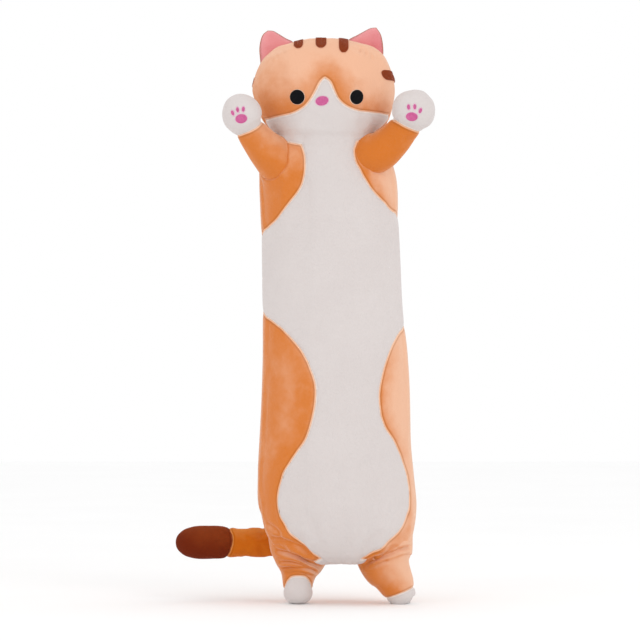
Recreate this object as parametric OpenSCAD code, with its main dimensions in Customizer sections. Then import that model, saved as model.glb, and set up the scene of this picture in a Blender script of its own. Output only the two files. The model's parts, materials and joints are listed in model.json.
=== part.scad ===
// Long plush cat that stands on two short legs with both arms raised.
// Millimetres, +Z up, the face looks along -Y, and left and right are the cat's own.

/* [Body] */
// Height of the neck pivot above the floor
neck_z = 715; // [700:1:720]
// Half width of the body at the chest
chest_half_w = 107; // [95:1:115]
// Half width of the body at the hips
hip_half_w = 123; // [112:1:130]
// Half depth of the body at the chest
chest_half_d = 87; // [80:1:95]
// Half depth of the body at the hips
hip_half_d = 94; // [88:1:100]
// Height of the crotch above the floor
crotch_z = 66; // [60:1:72]
// Lean of the whole body towards the cat's right, in degrees
lean = 2; // [0:0.5:3]

/* [Head] */
// Half width of the head across the cheeks
head_half_w = 114; // [108:1:120]
// Half depth of the head
head_half_d = 93; // [88:1:98]
// Height of the widest part of the head
head_z = 798; // [794:1:802]
// Rise of the crown above the widest part
crown_h = 85; // [80:1:90]
// Drop of the chin below the widest part
chin_h = 76; // [72:1:80]
// Radius of the neck dome that the head turns on
neck_r = 75; // [72:1:77]
// Radius of an eye
eye_r = 11; // [8:0.5:13]

/* [Arms] */
// Radius of an arm at the shoulder
shoulder_r = 30; // [27:0.5:31]
// Radius of an arm at the wrist
wrist_r = 26; // [23:0.5:27]
// Radius of a paw
paw_r = 32; // [29:0.5:34]
// Distance from the shoulder pivot to the middle of the paw
arm_l = 108; // [100:1:112]

/* [Legs] */
// Radius of a leg at the hip
thigh_r = 42; // [38:0.5:43]
// Radius of a leg at the ankle
ankle_r = 31; // [28:0.5:33]
// Height of the hip pivots
hip_z = 110; // [106:1:112]

/* [Tail] */
// Radius of the tail
tail_r = 23; // [20:0.5:24]
// Length of the tail from its pivot
tail_l = 190; // [150:1:210]
// Where the dark tip begins, measured from the pivot
tail_seam = 106; // [90:1:120]

/* [Cloth] */
// Thickness of the plush cloth with its pile
cloth = 3; // [2:0.5:4]
// Thickness of the embroidered patches
patch = 1; // [0.5:0.25:1.5]
// Gap between a limb and the socket it turns in
gap = 0.5; // [0.4:0.1:1]

/* [Hidden] */

orange = [0.89, 0.55, 0.28];
white = [0.88, 0.86, 0.85];
pink = [0.91, 0.57, 0.58];
magenta = [0.83, 0.42, 0.60];
brown = [0.50, 0.20, 0.05];
black = [0.05, 0.05, 0.06];
filling = [0.97, 0.97, 0.95];

// The whole cat is moved so that its bounding box stands centred on the origin.
frame_shift = [51, 19, 0];
// Longer than half the cat's width or depth, for cutting shapes
far = 400;
// Points in each ring of a lofted shape
ring_n = 40;
// Where the leaning middle line meets the floor
lean_x = 11;
// Distance of the back seam from the middle line
back_seam = 2.5;

// Middle of the body at height z
function axis_x(z) = lean_x - z * tan(lean);
function mix(a, b, t) = a + (b - a) * t;
// Smooth curve through a list of points, at t from 0 to the last index
function curve_at(p, t) =
    let (i = min(floor(t), len(p) - 2), f = t - i)
    let (a = p[max(i - 1, 0)], b = p[i], c = p[i + 1], d = p[min(i + 2, len(p) - 1)])
    b + 0.5 * f * (c - a + f * (2 * a - 5 * b + 4 * c - d + f * (3 * (b - c) + d - a)));
function smooth(p, steps) =
    [for (k = [0 : (len(p) - 1) * steps]) curve_at(p, k / steps)];
// Rounded side of a superellipse: 1 in the middle and 0 at the end
function bulge(u, power) = pow(max(0, 1 - pow(abs(u), power)), 1 / power);
function signed_pow(v, power) = sign(v) * pow(abs(v), power);

// Body sections as [height, half width, half depth], from the hips to the shoulders
body_keys = [
    [150, hip_half_w, hip_half_d],
    [240, mix(hip_half_w, chest_half_w, 0.5), mix(hip_half_d, chest_half_d, 0.5)],
    [350, mix(hip_half_w, chest_half_w, 0.85), chest_half_d],
    [480, chest_half_w, chest_half_d],
    [600, chest_half_w, chest_half_d],
    [660, chest_half_w, chest_half_d],
    [692, chest_half_w - 9, chest_half_d - 3],
    [neck_z + 2, neck_r + 4, neck_r + 4]
];

// Shoulder, hip, tail and neck pivots before the frame shift
shoulder_z = 697;
shoulder_out = 62;
shoulder_y = -63;
hip_y = -8;
hip_left_x = 74;
hip_right_x = -60;
leg_left_tilt = 11;
leg_right_tilt = 1;
tail_pivot = [-62, 63, 96];
neck_pivot = [axis_x(neck_z), 0, neck_z];

// Directions of the arms, from the shoulder to the paw
arm_left_dir = [71, -38, 73];
arm_right_dir = [-74, -38, 67];

// Travel of the joints that need room in the body, in degrees
arm_up = 4;
arm_down = 60;
leg_out = 25;
leg_in = 8;
tail_front = 5;
tail_back = 70;

// Gap between a limb and its room, with an allowance for facets
room = gap + 1;
// Half angle that a limb fills as seen from its pivot, just outside its root ball
fan_margin = 70;
// How far from its pivot each limb leaves the body
arm_reach = 52;
tail_reach = 55;
// How much wider than the thigh the mouth of the leg room is, at its top and at its foot
mouth_margin = [11, 13];

// Front outline of the white belly as [x, z]: down its left edge and up its right edge
belly_edge = [
    [28, 730], [30, 706], [47, 680], [64, 650], [88, 615], [116, 580], [128, 520],
    [116, 450], [94, 412], [74, 365], [67, 318], [74, 286], [99, 239], [114, 165],
    [102, 114], [63, 83], [36, 60], [8, 50], [-20, 60], [-44, 83], [-78, 114],
    [-95, 170], [-64, 239], [-38, 286], [-34, 335], [-50, 382], [-86, 427], [-116, 455],
    [-128, 520], [-116, 580], [-86, 615], [-60, 646], [-51, 680], [-53, 706], [-56, 730]
];
// Upper outline of the white muzzle with its blaze, from the left cheek to the right
muzzle_edge = [
    [130, 757], [82, 763], [52, 768], [20, 775], [6, 784], [-4, 800], [-10, 816],
    [-19, 824], [-28, 816], [-34, 800], [-44, 784], [-54, 775], [-72, 766], [-94, 760],
    [-150, 750]
];

// ---------- shared shapes ----------

// One level ring of a soft tube, grown outwards by grow
function ring(x, y, z, half_w, half_d, grow, power) = [
    for (i = [0 : ring_n - 1]) let (a = 360 * i / ring_n)
        [
            x + (half_w + grow) * signed_pow(cos(a), 2 / power),
            y + (half_d + grow) * signed_pow(sin(a), 2 / power),
            z
        ]
];

// Solid through a stack of rings
module loft(rings) {
    n = len(rings[0]);
    last = len(rings) - 1;
    points = [for (r = rings) each r];
    sides = [
        for (k = [0 : last - 1], i = [0 : n - 1]) let (j = (i + 1) % n)
            [k * n + i, (k + 1) * n + i, (k + 1) * n + j, k * n + j]
    ];
    floor_face = [[for (i = [0 : n - 1]) i]];
    top_face = [[for (i = [n - 1 : -1 : 0]) last * n + i]];
    polyhedron(points, concat(floor_face, sides, top_face), convexity = 6);
}

// Makes one mesh of everything inside it
module one_mesh() {
    resize([0, 0, 0]) children();
}

module placed() {
    translate(frame_shift) children();
}

// Front half of space
module front_half() {
    translate([-far, -far, -10]) cube([2 * far, far, 1000]);
}

// Half of space on the cat's left of the seam down the back, beside the leaning middle line
module left_half() {
    translate([lean_x + back_seam, -far, 0]) rotate([0, -lean, 0]) translate([0, 0, -50])
        cube([far, 2 * far, 1100]);
}

// Outline in the front view, cut right through from front to back
module front_prism(outline) {
    rotate([90, 0, 0]) linear_extrude(2 * far, center = true) polygon(outline);
}

// ---------- body ----------

// Rounded underside, then the sections up to the neck
function body_rings(grow) = concat(
    [
        for (a = [8, 25, 42, 60, 75]) let (u = cos(a), z = mix(150, crotch_z, u))
            ring(axis_x(z), 0, z - grow * u, hip_half_w * bulge(u, 2.4),
                hip_half_d * bulge(u, 2.4), grow, 2.2)
    ],
    [
        for (k = smooth(body_keys, 2))
            ring(axis_x(k[0]), 0, k[0], k[1], k[2], grow, 2.2)
    ]
);

// Dome of the neck, a ball about the neck pivot
function dome_rings() = [
    for (a = [-6, 8, 22, 36, 50, 64, 76, 86])
        ring(neck_pivot[0], 0, neck_z + neck_r * sin(a), neck_r * cos(a),
            neck_r * cos(a), 0, 2)
];

// Fan that a limb sweeps about a hinge along -Y, between two angles in the front view.
// slope is how far the limb comes forward for each millimetre outwards.
module swept_fan(r, reach, slope, from, to) {
    back = r * sqrt(1 + slope * slope) + 1;
    rotate([90, 0, 0]) rotate([0, 0, from])
        rotate_extrude(angle = to - from, $fn = 40)
            polygon([[0, -back], [reach, slope * reach - back], [reach, 70], [0, 70]]);
}

// Room that the arms sweep, taken out of the body
module arm_room(side) {
    d = arm_dir(side);
    rest = atan2(d[2], d[0]);
    slope = -d[1] / norm([d[0], d[2]]);
    down = rest - side * (arm_down + fan_margin);
    up = rest + side * (arm_up + fan_margin);
    at_shoulder(side) {
        sphere(r = shoulder_r + room + 1, $fn = 24);
        swept_fan(shoulder_r + room, arm_reach, slope, min(up, down), max(up, down));
    }
}

// Room that a leg sweeps: its ball, and a wide mouth about the middle of its travel
module leg_room(side) {
    middle = (leg_out - leg_in) / 2;
    at_hip(side) {
        sphere(r = thigh_r + room, $fn = 28);
        rotate(middle, [0, -side, 0]) point_along(leg_dir(side)) translate([0, 0, 1])
            cylinder(
                r1 = thigh_r + mouth_margin[0], r2 = thigh_r + mouth_margin[1], h = 80, $fn = 32
            );
    }
}

// Room that the tail sweeps as it swings round behind
module tail_room() {
    translate(tail_pivot) {
        sphere(r = tail_r + room + 1, $fn = 24);
        rotate([0, 0, 180 - tail_back - fan_margin])
            rotate_extrude(angle = tail_front + tail_back + 2 * fan_margin, $fn = 40)
                translate([0, -tail_r - room - 1]) square([tail_reach, 2 * (tail_r + room + 1)]);
    }
}

module limb_room() {
    for (side = [1, -1]) {
        arm_room(side);
        leg_room(side);
    }
    tail_room();
}

module body_shell() {
    difference() {
        loft(body_rings(0));
        loft(body_rings(-cloth));
        translate([neck_pivot[0], 0, neck_z + 40]) cube([300, 300, 80], center = true);
        limb_room();
    }
}

module belly_region() {
    intersection() {
        front_prism(smooth(belly_edge, 3));
        front_half();
    }
}

module belly_panel() {
    color(white) placed() one_mesh() intersection() {
        body_shell();
        belly_region();
    }
}

module side_panel_left() {
    color(orange) placed() one_mesh() difference() {
        intersection() {
            body_shell();
            left_half();
        }
        belly_region();
    }
}

module side_panel_right() {
    color(orange) placed() one_mesh() difference() {
        body_shell();
        left_half();
        belly_region();
    }
}

module body_stuffing() {
    color(filling) placed() one_mesh() difference() {
        union() {
            loft(body_rings(-cloth));
            loft(dome_rings());
        }
        limb_room();
    }
}

// ---------- head ----------

function head_rings(grow) = [
    for (a = [172, 160, 147, 134, 120, 105, 90, 75, 60, 46, 33, 20, 8])
        let (u = cos(a), z = head_z + ((u > 0 ? crown_h : chin_h) + grow) * u)
            ring(axis_x(z), -4, z, head_half_w * bulge(u, 2.3),
                head_half_d * bulge(u, 2.3), grow * sin(a), 2.2)
];

module neck_socket() {
    translate(neck_pivot) sphere(r = neck_r + gap + 0.3, $fn = 60);
}

module head_shell() {
    difference() {
        loft(head_rings(0));
        loft(head_rings(-cloth));
        neck_socket();
    }
}

module muzzle_region() {
    intersection() {
        front_prism(concat(smooth(muzzle_edge, 3), [[-150, 690], [130, 690]]));
        front_half();
    }
}

module muzzle_panel() {
    color(white) placed() one_mesh() intersection() {
        head_shell();
        muzzle_region();
    }
}

module forehead_panel() {
    color(orange) placed() one_mesh() difference() {
        intersection() {
            head_shell();
            front_half();
        }
        muzzle_region();
    }
}

module head_back_panel() {
    color(orange) placed() one_mesh() difference() {
        head_shell();
        front_half();
    }
}

module head_stuffing() {
    color(filling) placed() one_mesh() difference() {
        loft(head_rings(-cloth));
        neck_socket();
    }
}

// Embroidered patch on the face, where its outline is cut through the head from the front
module face_patch(colour, back) {
    color(colour) placed() one_mesh() intersection() {
        difference() {
            loft(head_rings(patch));
            loft(head_rings(0));
        }
        intersection() {
            children();
            translate([-far, -far, 0]) cube([2 * far, far + back, 1000]);
        }
    }
}

module patch_prism(x, z, half_w, half_h) {
    translate([x, 0, z]) rotate([90, 0, 0]) scale([half_w, half_h, 1])
        cylinder(r = 1, h = far, $fn = 24);
}

// Stripe with one round end at [x, z] that runs on to the edge of the head
module stripe_prism(x, z, half_w, dx, dz) {
    rotate([90, 0, 0]) linear_extrude(2 * far, center = true) hull() {
        translate([x, z]) circle(half_w, $fn = 16);
        translate([x + dx, z + dz]) circle(half_w, $fn = 16);
    }
}

module eye_left() { face_patch(black, 0) patch_prism(30, 792, eye_r - 1, eye_r); }
module eye_right() { face_patch(black, 0) patch_prism(-62, 792, eye_r, eye_r); }
module nose() { face_patch(magenta, 0) patch_prism(-23, 786, 10, 7); }

module crown_stripes() {
    face_patch(brown, 40) {
        union() {
            stripe_prism(-60, 877, 7, 0, 40);
            stripe_prism(-25, 877, 8, 0, 40);
            stripe_prism(10, 872, 8, 0, 40);
        }
    }
}

module cheek_stripe_left() { face_patch(brown, 25) stripe_prism(80, 823, 7, 60, 0); }
module cheek_stripe_right() { face_patch(brown, 25) stripe_prism(-120, 814, 7, -60, 0); }

// ---------- ears ----------

// Flat ear: base corners a and b and tip c in the front view
function ear_corners(side) = side > 0
    ? [[16, 879], [72, 848], [62, 893]]
    : [[-121, 842], [-66, 875], [-108, 887]];

module ear_outline(side) {
    p = ear_corners(side);
    hull() {
        translate(p[0]) circle(2, $fn = 16);
        translate(p[1]) circle(2, $fn = 16);
        translate(p[2]) circle(7, $fn = 24);
    }
}

// One half of an ear, in front of or behind its seam, clear of the head as it flops
module ear_half(side, colour, front) {
    p = ear_corners(side);
    base = p[1] - p[0];
    slope = -atan2(base[1], base[0]);
    color(colour) placed() one_mesh() difference() {
        translate([0, front ? 0 : 6, 0]) rotate([90, 0, 0]) linear_extrude(6)
            ear_outline(side);
        for (flop = [-30, -15, 0, 15, 30])
            translate([p[0][0], 0, p[0][1]]) rotate([0, slope, 0]) rotate([flop, 0, 0])
                rotate([0, -slope, 0]) translate([-p[0][0], 0, -p[0][1]])
                    loft(head_rings(patch + 0.8));
    }
}

module ear_left_front() { ear_half(1, pink, true); }
module ear_left_back() { ear_half(1, orange, false); }
module ear_right_front() { ear_half(-1, pink, true); }
module ear_right_back() { ear_half(-1, orange, false); }

// ---------- arms ----------

function arm_dir(side) = side > 0 ? arm_left_dir : arm_right_dir;
function shoulder(side) = [axis_x(shoulder_z) + side * shoulder_out, shoulder_y, shoulder_z];
function paw_middle(side) =
    shoulder(side) + arm_dir(side) / norm(arm_dir(side)) * arm_l;

module at_shoulder(side) {
    translate(shoulder(side)) children();
}

// Turns +Z to the direction v
module point_along(v) {
    rotate([0, acos(v[2] / norm(v)), atan2(v[1], v[0])]) children();
}

// Part of the ball at the root of a limb, as [radius, distance]
function root_arc(r, from, inset) =
    [for (a = [from : 14 : -6]) [(r - inset) * cos(a), (r - inset) * sin(a)]];
function inset_sections(sections, inset) =
    [for (s = sections) [max(0, s[1] - inset), s[0]]];
function backwards(p) = [for (k = [len(p) - 1 : -1 : 0]) p[k]];

// Cloth tube, open at both ends, that starts on the root ball
module sleeve(root_r, sections) {
    function side(inset) =
        concat(root_arc(root_r, -20, inset), inset_sections(sections, inset));
    rotate_extrude($fn = 48) polygon(concat(side(0), backwards(side(cloth))));
}

// Solid filling: the root ball, the sections and the closed end
module core(root_r, sections, end) {
    rotate_extrude($fn = 48) polygon(concat(
        [[0, cloth - root_r]],
        root_arc(root_r, -76, cloth),
        inset_sections(sections, cloth),
        end
    ));
}

paw_from = arm_l - sqrt(paw_r * paw_r - wrist_r * wrist_r);
arm_sections = [
    [0, shoulder_r], [25, shoulder_r - 1], [50, mix(shoulder_r, wrist_r, 0.7)],
    [paw_from, wrist_r]
];

// Profile of a paw from the wrist seam to its end
function paw_points(inset) =
    let (r = paw_r - inset, start = asin((paw_from - arm_l) / r))
    concat(
        [[wrist_r - inset, paw_from]],
        [for (k = [1 : 9]) let (a = mix(start, 90, k / 9))
            [k < 9 ? r * cos(a) : 0, arm_l + r * sin(a)]]
    );

module arm_sleeve(side) {
    color(orange) placed() at_shoulder(side) point_along(arm_dir(side))
        sleeve(shoulder_r, arm_sections);
}

module arm_paw(side) {
    color(white) placed() at_shoulder(side) point_along(arm_dir(side))
        rotate_extrude($fn = 48)
            polygon(concat(paw_points(0), backwards(paw_points(cloth))));
}

module arm_stuffing(side) {
    color(filling) placed() at_shoulder(side) point_along(arm_dir(side))
        core(shoulder_r, arm_sections, paw_points(cloth));
}

// Oval patch on the front of a paw, dx and dz from its middle
module paw_patch(side, dx, dz, half_w, half_h, tilt) {
    color(magenta) placed() translate(paw_middle(side)) one_mesh() intersection() {
        difference() {
            sphere(r = paw_r + patch, $fn = 48);
            sphere(r = paw_r + 0.1, $fn = 48);
        }
        translate([dx, 0, dz]) rotate([90, tilt, 0]) scale([half_w, half_h, 1])
            cylinder(r = 1, h = far, $fn = 20);
    }
}

// Three toe marks above the palm pad
module toe_pads(side, places) {
    for (p = places) paw_patch(side, p[0], p[1], 3, 4.5, p[2]);
}

module arm_left_sleeve() { arm_sleeve(1); }
module arm_left_paw() { arm_paw(1); }
module arm_left_palm_pad() { paw_patch(1, -2, -9, 10, 7, 0); }
module arm_left_toe_pads() { toe_pads(1, [[-8, 8, -10], [2, 9, 5], [11, 3, 25]]); }
module arm_left_stuffing() { arm_stuffing(1); }
module arm_right_sleeve() { arm_sleeve(-1); }
module arm_right_paw() { arm_paw(-1); }
module arm_right_palm_pad() { paw_patch(-1, 0, -5, 10, 8, 0); }
module arm_right_toe_pads() { toe_pads(-1, [[-12, 6, -20], [-4, 12, -5], [6, 12, 10]]); }
module arm_right_stuffing() { arm_stuffing(-1); }

// ---------- legs ----------

// Distance from the hip pivot to the seam of the toe cap
leg_seam = 74;
leg_sections = [
    [0, thigh_r], [20, thigh_r - 2], [42, mix(thigh_r, ankle_r, 0.7)], [62, ankle_r],
    [leg_seam, ankle_r]
];
leg_end = [
    [leg_seam, ankle_r], [92, ankle_r], [104, ankle_r - 2], [112, ankle_r - 6],
    [119, ankle_r - 17], [122, 0]
];

function leg_dir(side) =
    let (tilt = side > 0 ? leg_left_tilt : leg_right_tilt) [side * sin(tilt), 0, -cos(tilt)];

module at_hip(side) {
    translate([side > 0 ? hip_left_x : hip_right_x, hip_y, hip_z]) children();
}

module below(z) {
    translate([-far, -far, z - far]) cube([2 * far, 2 * far, far]);
}

module leg_sleeve(side) {
    color(orange) placed() at_hip(side) point_along(leg_dir(side))
        sleeve(thigh_r, leg_sections);
}

// Foot with its flat sole
module leg_toe_cap(side) {
    color(white) placed() difference() {
        at_hip(side) point_along(leg_dir(side)) rotate_extrude($fn = 48)
            polygon(concat([[0, leg_seam]], inset_sections(leg_end, 0)));
        below(0);
        difference() {
            at_hip(side) point_along(leg_dir(side)) rotate_extrude($fn = 48)
                polygon(concat(
                    [[0, leg_seam - 5], [ankle_r - cloth, leg_seam - 5]],
                    inset_sections(leg_end, cloth)
                ));
            below(cloth);
        }
    }
}

module leg_stuffing(side) {
    foot = [for (p = inset_sections(leg_end, cloth)) if (p[1] > leg_seam) p];
    color(filling) placed() difference() {
        at_hip(side) point_along(leg_dir(side)) core(thigh_r, leg_sections, foot);
        below(cloth);
    }
}

module leg_left_sleeve() { leg_sleeve(1); }
module leg_left_toe_cap() { leg_toe_cap(1); }
module leg_left_stuffing() { leg_stuffing(1); }
module leg_right_sleeve() { leg_sleeve(-1); }
module leg_right_toe_cap() { leg_toe_cap(-1); }
module leg_right_stuffing() { leg_stuffing(-1); }

// ---------- tail ----------

tail_sections = [[0, tail_r], [tail_seam * 0.5, tail_r - 1], [tail_seam, tail_r]];
tail_end = smooth(
    [
        [tail_seam, tail_r], [mix(tail_seam, tail_l, 0.25), tail_r + 2],
        [mix(tail_seam, tail_l, 0.6), tail_r + 2], [tail_l - 16, tail_r - 4],
        [tail_l - 5, tail_r - 13], [tail_l, 0]
    ],
    2
);
// Inside of the tip's cloth, from a distance along the tail to its end
function tip_inside(from) = [
    for (s = tail_end) if (s[0] >= from && s[0] < tail_l - cloth - 1) [s[1] - cloth, s[0]]
];

module at_tail() {
    translate(tail_pivot) rotate([0, -90, 0]) children();
}

module tail_sleeve() {
    color(orange) placed() at_tail() sleeve(tail_r, tail_sections);
}

module tail_tip() {
    color(brown) placed() at_tail() rotate_extrude($fn = 48)
        polygon(concat(
            inset_sections(tail_end, 0),
            [[0, tail_l - cloth]],
            backwards(tip_inside(tail_seam))
        ));
}

module tail_stuffing() {
    end = concat(tip_inside(tail_seam + 1), [[0, tail_l - cloth]]);
    color(filling) placed() at_tail() core(tail_r, tail_sections, end);
}

belly_panel();
side_panel_left();
side_panel_right();
body_stuffing();
muzzle_panel();
forehead_panel();
head_back_panel();
head_stuffing();
eye_left();
eye_right();
nose();
crown_stripes();
cheek_stripe_left();
cheek_stripe_right();
ear_left_front();
ear_left_back();
ear_right_front();
ear_right_back();
arm_left_sleeve();
arm_left_paw();
arm_left_palm_pad();
arm_left_toe_pads();
arm_left_stuffing();
arm_right_sleeve();
arm_right_paw();
arm_right_palm_pad();
arm_right_toe_pads();
arm_right_stuffing();
leg_left_sleeve();
leg_left_toe_cap();
leg_left_stuffing();
leg_right_sleeve();
leg_right_toe_cap();
leg_right_stuffing();
tail_sleeve();
tail_tip();
tail_stuffing();
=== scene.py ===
import json
import math

import bpy
import numpy as np
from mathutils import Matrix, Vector
from mathutils.bvhtree import BVHTree


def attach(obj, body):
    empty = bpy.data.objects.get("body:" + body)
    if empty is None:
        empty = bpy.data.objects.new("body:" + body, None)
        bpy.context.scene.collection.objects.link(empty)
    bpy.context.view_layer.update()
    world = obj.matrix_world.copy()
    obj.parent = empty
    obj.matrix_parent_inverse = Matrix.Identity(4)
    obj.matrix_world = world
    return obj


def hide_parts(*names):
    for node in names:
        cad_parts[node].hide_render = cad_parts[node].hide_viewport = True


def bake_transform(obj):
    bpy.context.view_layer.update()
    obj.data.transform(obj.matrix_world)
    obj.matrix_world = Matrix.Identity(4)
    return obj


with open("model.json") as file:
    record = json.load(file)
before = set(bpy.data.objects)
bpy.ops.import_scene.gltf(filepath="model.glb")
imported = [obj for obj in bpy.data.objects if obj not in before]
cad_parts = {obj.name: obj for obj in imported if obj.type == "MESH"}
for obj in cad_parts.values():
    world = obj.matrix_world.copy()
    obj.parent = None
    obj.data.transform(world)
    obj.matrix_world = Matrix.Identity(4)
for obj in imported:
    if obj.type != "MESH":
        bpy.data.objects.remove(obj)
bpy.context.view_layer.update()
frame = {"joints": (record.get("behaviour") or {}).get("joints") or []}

# The shapes are drawn in the cat's own millimetres: z is 0 on the floor, the face looks along -y,
# and +x is the cat's left. to_frame() takes them to the CAD frame, in metres.
MM = 0.001
pivots = {j["name"]: np.array(j["pos_m"]) / MM for j in frame["joints"]}
NECK = np.array([-14.0, 0.0, 715.0])
SHIFT = pivots["neck_nod"] - NECK

# The camera stands this far in front of the middle plane, level, at the middle of the cat.
EYE = np.array([-26.6, -6000.0, 443.0])
VIEW_WIDTH = 1001.6  # mm of the middle plane across the picture
SENSOR = 36.0

# Cloth simulation. Only wrinkles that outlast FINE rounds of averaging, and don't outlast BROAD
# rounds, move the drawn form, up to a cap in mm. They fade over some rings at a form's closed ends,
# and lose the share HEAD_CALM of their height between two levels, up the neck.
CLOTH = {
    "quality": 4, "mass": 0.25, "tension_stiffness": 20, "compression_stiffness": 20,
    "shear_stiffness": 8, "bending_stiffness": 0.15, "use_pressure": True,
    "uniform_pressure_force": 4, "shrink_min": -0.05,
}
CLOTH_FRAMES = 20
FINE, BROAD = 2, 60
BODY_CAP = 1.5
LIMB_CAP = 0.9
END_RINGS = (3, 9)
HEAD_CALM = 0.6
HEAD_CALM_HEIGHTS = (700, 780)

# How far the filling lies inside the cloth, its lowest height, the height of its rounded ends in the
# body, and how far a cut edge of cloth is turned in
LIMB_INSET = 8.0
BODY_INSET = 9.0
FILLING_LOW = 2
FILLING_ROUND = 12
TURNED_IN = 5.0

# Distance from a seam given to the body's filling, and added for a limb's, so that they show no seam
FAR_FROM_SEAM = 20.0
OFF_SEAM = 9


def to_frame(p):
    return (np.asarray(p, float) + SHIFT) * MM


# ---------- curves ----------


def catmull(keys, per_span):
    """A smooth curve through rows of numbers, with per_span steps between two rows."""
    k = np.asarray(keys, float)
    padded = np.vstack([2 * k[0] - k[1], k, 2 * k[-1] - k[-2]])
    out = []
    for i in range(len(k) - 1):
        a, b, c, d = padded[i : i + 4]
        for f in np.arange(per_span) / per_span:
            out.append(b + 0.5 * f * (c - a + f * (2 * a - 5 * b + 4 * c - d + f * (3 * (b - c) + d - a))))
    out.append(k[-1])
    return np.array(out)


def evenly(rows, step, columns):
    """Rows of a curve taken again at even steps of its length, measured in some of its columns."""
    at = np.r_[0, np.cumsum(np.linalg.norm(np.diff(rows[:, columns], axis=0), axis=1))]
    n = max(2, int(round(at[-1] / step)))
    even = np.linspace(0, at[-1], n + 1)
    return np.array([np.interp(even, at, rows[:, c]) for c in range(rows.shape[1])]).T


def signed_pow(v, power):
    """A power that keeps the sign, for oval sections."""
    return np.sign(v) * np.abs(v) ** power


def smoothstep(x, low, high):
    """0 below low, 1 above high, with a soft rise between them."""
    t = np.clip((x - low) / (high - low), 0, 1)
    return t * t * (3 - 2 * t)


def waves(t, period, seed):
    """Smooth random heights from 0 to 1 along a line, with a knot at about every period."""
    knots = np.random.default_rng(seed).random(512)
    u = t / period
    i = np.floor(u).astype(int)
    f = u - i
    f = f * f * (3 - 2 * f)
    return knots[i % 512] * (1 - f) + knots[(i + 1) % 512] * f


# ---------- the body's shape ----------

# Height, half width, half depth, middle in x and middle in y, from the underside to the crown
BODY = [
    [61, 0, 0, 6, 0], [62.5, 40, 34, 6, 0], [70, 76, 62, 6, 0], [88, 101, 80, 6, 0],
    [115, 116, 90, 3, 0], [155, 122.5, 94, 0.5, 0], [200, 121, 93.5, -2, 0], [250, 117.5, 91, -3, 0],
    [315, 115, 88.5, -2, 0], [390, 112, 87.5, -3, 0], [465, 108.5, 87, -7, 0], [540, 107, 87, -9.5, 0],
    [610, 106.5, 87, -12, 0], [655, 106, 86.5, -13.5, 0], [685, 101, 84.5, -14.5, 0],
    [706, 88, 82, -15.5, -1], [722, 80, 80.5, -16, -2], [732, 84.5, 82.5, -16.5, -3],
    [744, 93.5, 85.5, -17.5, -3.5],
    [757, 100.5, 88.5, -18, -4], [776, 107.5, 91.5, -19, -4],
    [798, 112, 93, -19.5, -4], [820, 109.8, 92, -19.5, -4], [840, 102.5, 87, -19.5, -4],
    [856, 91.5, 78, -19, -4], [870, 74, 62, -18.5, -4], [879, 49, 41, -18, -4], [882.6, 22, 18, -18, -4],
    [883, 0, 0, -18, -4],
]
POWER = 2.2  # squareness of a section: 2 is an ellipse
GIRTH_R = 108.0  # radius that turns an angle round the body into millimetres
BODY_STEP = 5.0
BODY_AROUND = 132
LEG_TOP = 150  # below this height the panel's edge isn't carried past the silhouette

profile = catmull(BODY, 12)
profile[:, 0] = np.maximum.accumulate(profile[:, 0])


def section(z):
    """Half width, half depth, middle x and middle y of the body at height z."""
    return [np.interp(z, profile[:, 0], profile[:, c]) for c in (1, 2, 3, 4)]


def angle_at(x, y, z):
    """Angle round the body of a point on its skin: 0 in front, 90 degrees on the cat's left."""
    hw, hd, cx, cy = section(z)
    u = signed_pow((x - cx) / np.maximum(hw, 1e-3), POWER / 2)
    v = signed_pow((cy - y) / np.maximum(hd, 1e-3), POWER / 2)
    return np.arctan2(u, v)


def on_skin(x, z):
    """(girth, height) of the body's skin where the camera sees the point (x, z) of the middle plane.
    A point past the silhouette lies that much further round."""
    y = -80.0  # a first guess
    for _ in range(4):
        near = (y - EYE[1]) / -EYE[1]
        px = EYE[0] + (x - EYE[0]) * near
        pz = EYE[2] + (z - EYE[2]) * near
        hw, hd, cx, cy = section(pz)
        t = (px - cx) / max(hw, 1e-3)
        a = np.sign(t) * math.asin(min(abs(t), 1) ** (POWER / 2))
        y = cy - hd * math.cos(a) ** (2 / POWER)
    past = max(0, abs(px - cx) - hw) if pz > LEG_TOP else 0
    return [a * GIRTH_R + np.sign(t) * past, pz]


# ---------- meshes as arrays ----------


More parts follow.
